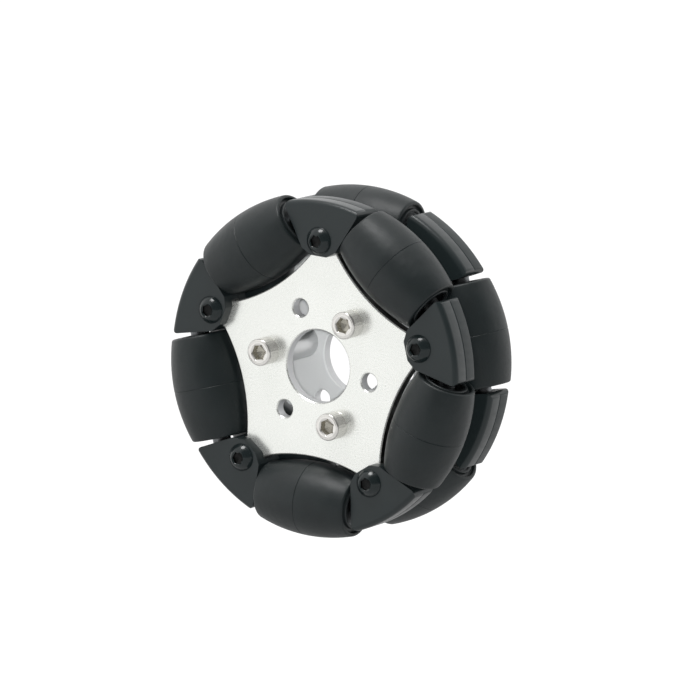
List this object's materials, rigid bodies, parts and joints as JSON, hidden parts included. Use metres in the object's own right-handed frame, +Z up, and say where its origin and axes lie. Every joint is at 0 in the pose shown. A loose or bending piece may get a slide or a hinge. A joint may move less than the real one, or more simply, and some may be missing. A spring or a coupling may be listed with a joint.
{
  "type": "omni wheel",
  "caption": "Double-row omni wheel with scalloped aluminium hub plates, moulded roller brackets and free barrel rollers on ball bearings.",
  "frame": {"origin": "centre of the wheel, on its axis and half way between the two rows of rollers", "axes": "+Y along the wheel's axis from the screw-head side (front, -Y) to the nut side; +Z up; +X to the right seen from the front"},
  "size_m": [0.127, 0.0528, 0.127],
  "materials": {
    "plate": "satin, bead-blasted",
    "bracket": "moulded, fine satin",
    "tyre": "moulded, satin",
    "core": "moulded, satin",
    "bearing": "ground",
    "axle": "ground",
    "spacer": "turned",
    "hub_screw": "bright zinc",
    "hub_nut": "bright zinc",
    "bracket_screw": "black oxide",
    "bracket_nut": "plain"
  },
  "bodies": {
    "hub": {"front_plate": "plate", "rear_plate": "plate", "hub_spacers": "spacer", "hub_screws": "hub_screw", "hub_nuts": "hub_nut", "bracket_screws": "bracket_screw", "bracket_nuts": "bracket_nut", "axles": "axle", "spacer_rings": "axle", "bearing_inner_rings": "bearing", "front_bracket_outer_1": "bracket", "front_bracket_outer_2": "bracket", "front_bracket_outer_3": "bracket", "front_bracket_outer_4": "bracket", "front_bracket_outer_5": "bracket", "front_bracket_inner_1": "bracket", "front_bracket_inner_2": "bracket", "front_bracket_inner_3": "bracket", "front_bracket_inner_4": "bracket", "front_bracket_inner_5": "bracket", "rear_bracket_outer_1": "bracket", "rear_bracket_outer_2": "bracket", "rear_bracket_outer_3": "bracket", "rear_bracket_outer_4": "bracket", "rear_bracket_outer_5": "bracket", "rear_bracket_inner_1": "bracket", "rear_bracket_inner_2": "bracket", "rear_bracket_inner_3": "bracket", "rear_bracket_inner_4": "bracket", "rear_bracket_inner_5": "bracket"},
    "front_roller_1": {"front_tyre_1": "tyre", "front_core_1": "core", "front_bearings_1": "bearing"},
    "front_roller_2": {"front_tyre_2": "tyre", "front_core_2": "core", "front_bearings_2": "bearing"},
    "front_roller_3": {"front_tyre_3": "tyre", "front_core_3": "core", "front_bearings_3": "bearing"},
    "front_roller_4": {"front_tyre_4": "tyre", "front_core_4": "core", "front_bearings_4": "bearing"},
    "front_roller_5": {"front_tyre_5": "tyre", "front_core_5": "core", "front_bearings_5": "bearing"},
    "rear_roller_1": {"rear_tyre_1": "tyre", "rear_core_1": "core", "rear_bearings_1": "bearing"},
    "rear_roller_2": {"rear_tyre_2": "tyre", "rear_core_2": "core", "rear_bearings_2": "bearing"},
    "rear_roller_3": {"rear_tyre_3": "tyre", "rear_core_3": "core", "rear_bearings_3": "bearing"},
    "rear_roller_4": {"rear_tyre_4": "tyre", "rear_core_4": "core", "rear_bearings_4": "bearing"},
    "rear_roller_5": {"rear_tyre_5": "tyre", "rear_core_5": "core", "rear_bearings_5": "bearing"}
  },
  "joints": [
    {"name": "front_roller_1_spin", "type": "hinge", "parent": "hub", "child": "front_roller_1", "pos_m": [-0.02621, -0.0127, 0.04235], "axis": [-0.8504, 0, -0.5262], "continuous": true},
    {"name": "front_roller_2_spin", "type": "hinge", "parent": "hub", "child": "front_roller_2", "pos_m": [-0.04837, -0.0127, -0.01184], "axis": [0.2377, 0, -0.9713], "continuous": true},
    {"name": "front_roller_3_spin", "type": "hinge", "parent": "hub", "child": "front_roller_3", "pos_m": [-0.00369, -0.0127, -0.04966], "axis": [0.9973, 0, -0.0741], "continuous": true},
    {"name": "front_roller_4_spin", "type": "hinge", "parent": "hub", "child": "front_roller_4", "pos_m": [0.04609, -0.0127, -0.01886], "axis": [0.3786, 0, 0.9255], "continuous": true},
    {"name": "front_roller_5_spin", "type": "hinge", "parent": "hub", "child": "front_roller_5", "pos_m": [0.03218, -0.0127, 0.03801], "axis": [-0.7632, 0, 0.6461], "continuous": true},
    {"name": "rear_roller_1_spin", "type": "hinge", "parent": "hub", "child": "rear_roller_1", "pos_m": [-0.03218, 0.0127, -0.03801], "axis": [0.7632, 0, -0.6461], "continuous": true},
    {"name": "rear_roller_2_spin", "type": "hinge", "parent": "hub", "child": "rear_roller_2", "pos_m": [-0.04609, 0.0127, 0.01886], "axis": [-0.3786, 0, -0.9255], "continuous": true},
    {"name": "rear_roller_3_spin", "type": "hinge", "parent": "hub", "child": "rear_roller_3", "pos_m": [0.00369, 0.0127, 0.04966], "axis": [-0.9973, 0, 0.0741], "continuous": true},
    {"name": "rear_roller_4_spin", "type": "hinge", "parent": "hub", "child": "rear_roller_4", "pos_m": [0.04837, 0.0127, 0.01184], "axis": [-0.2377, 0, 0.9713], "continuous": true},
    {"name": "rear_roller_5_spin", "type": "hinge", "parent": "hub", "child": "rear_roller_5", "pos_m": [0.02621, 0.0127, -0.04235], "axis": [0.8504, 0, 0.5262], "continuous": true}
  ]
}
